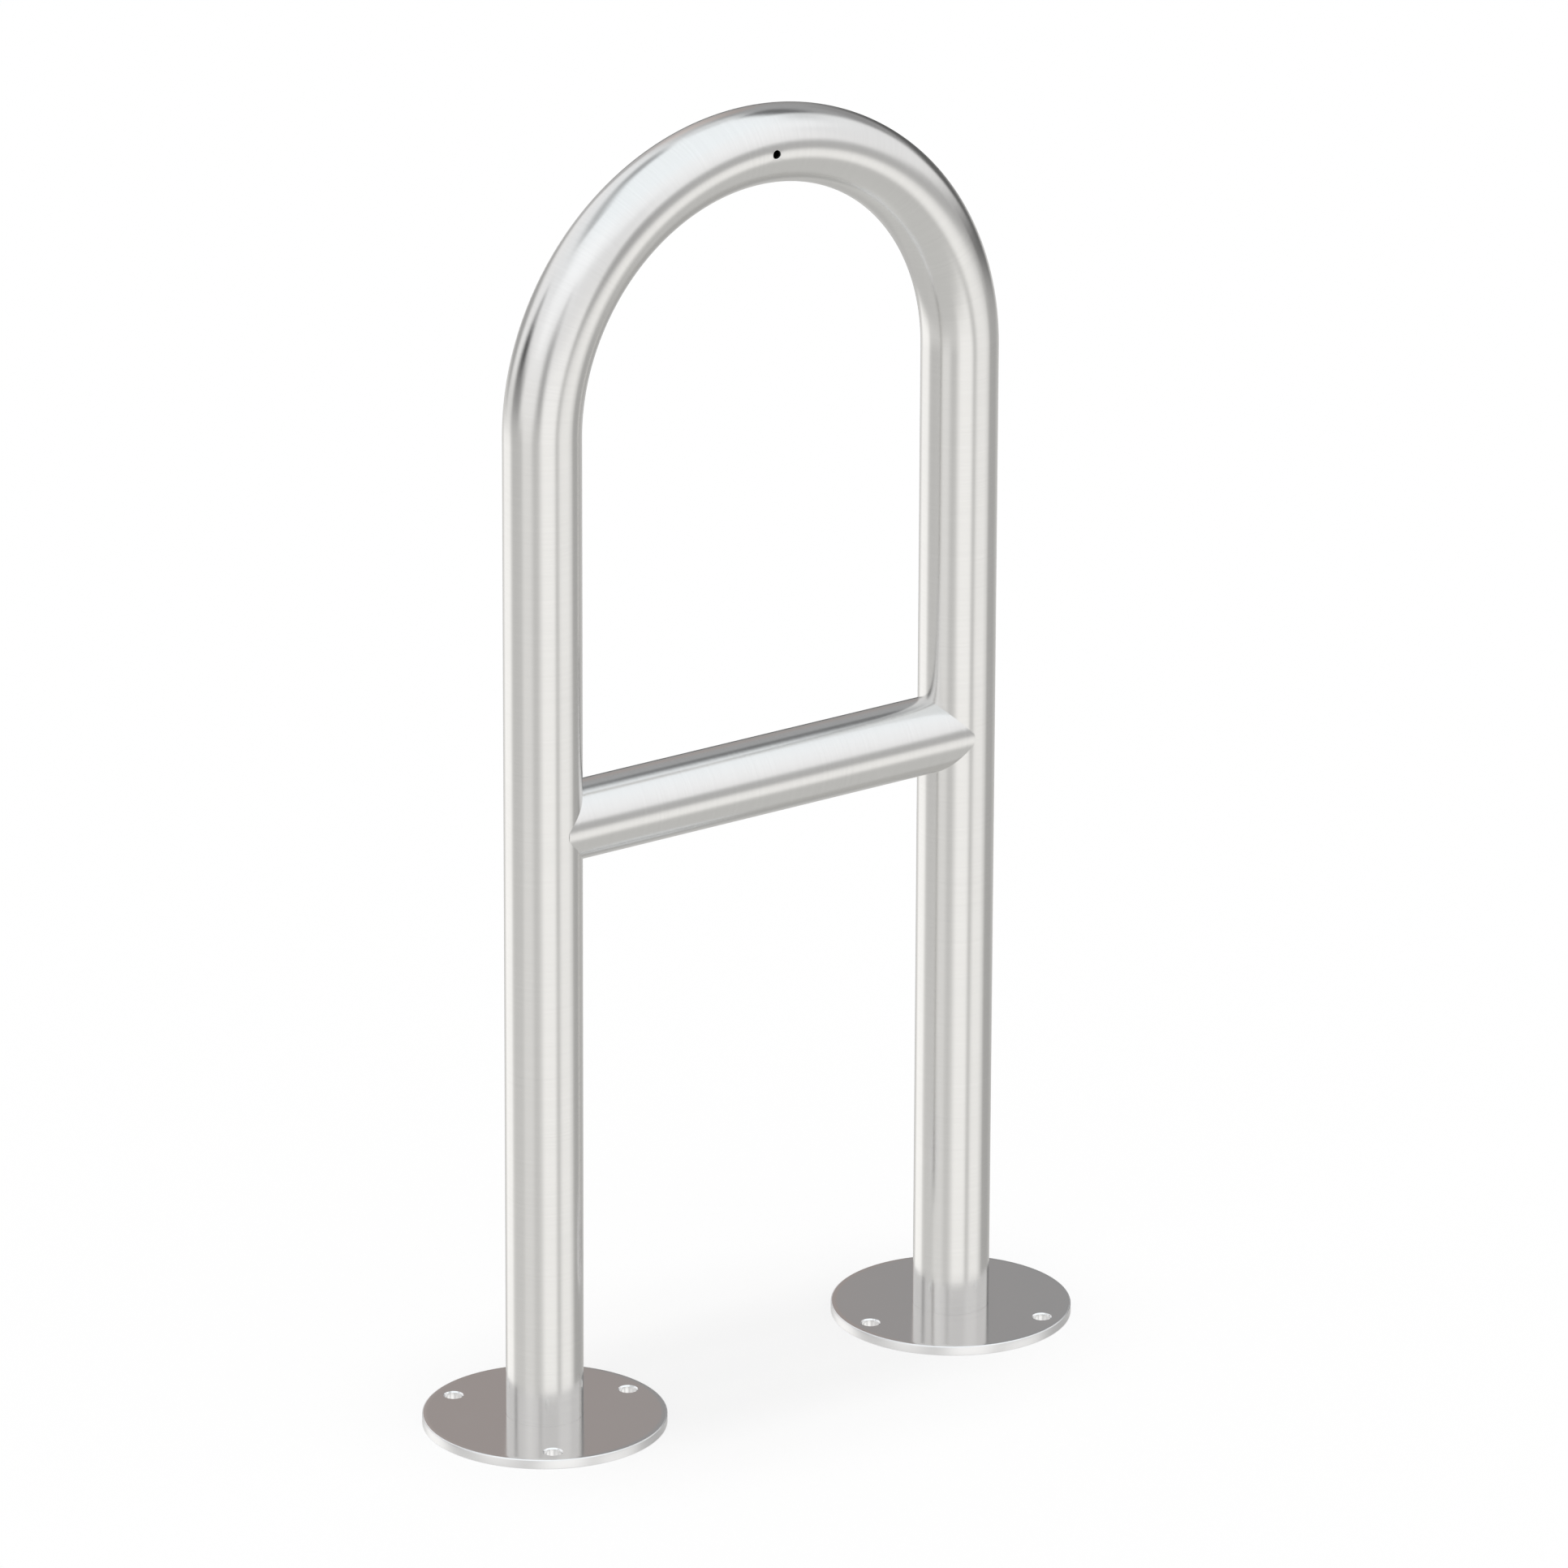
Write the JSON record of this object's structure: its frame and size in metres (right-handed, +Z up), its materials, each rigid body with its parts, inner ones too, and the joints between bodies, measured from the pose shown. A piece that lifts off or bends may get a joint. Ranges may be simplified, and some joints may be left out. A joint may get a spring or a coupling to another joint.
{
  "type": "floor bike rack",
  "caption": "Round-topped hoop of polished stainless tube with a cross tube, welded to round base plates that bolt to the ground, for leaning and locking a bicycle.",
  "frame": {"origin": "on the ground, midway between the two legs", "axes": "+X from the left leg to the right leg, +Y to the back, +Z up; the vent hole in the bend faces -Y"},
  "size_m": [0.4654, 0.1524, 0.825],
  "materials": {
    "polished_tube": "stainless tube polished to a soft mirror, with faint lines round it",
    "polished_plate": "stainless plate polished to a flat mirror, with satin cut edges at its rim and in its holes",
    "ground_weld": "stainless weld, ground and polished with the tubes where it shows"
  },
  "bodies": {
    "root": {"hoop_tube": "polished_tube", "cross_tube": "polished_tube", "left_base_plate": "polished_plate", "right_base_plate": "polished_plate", "base_welds": "ground_weld", "cross_welds": "ground_weld"}
  },
  "joints": []
}
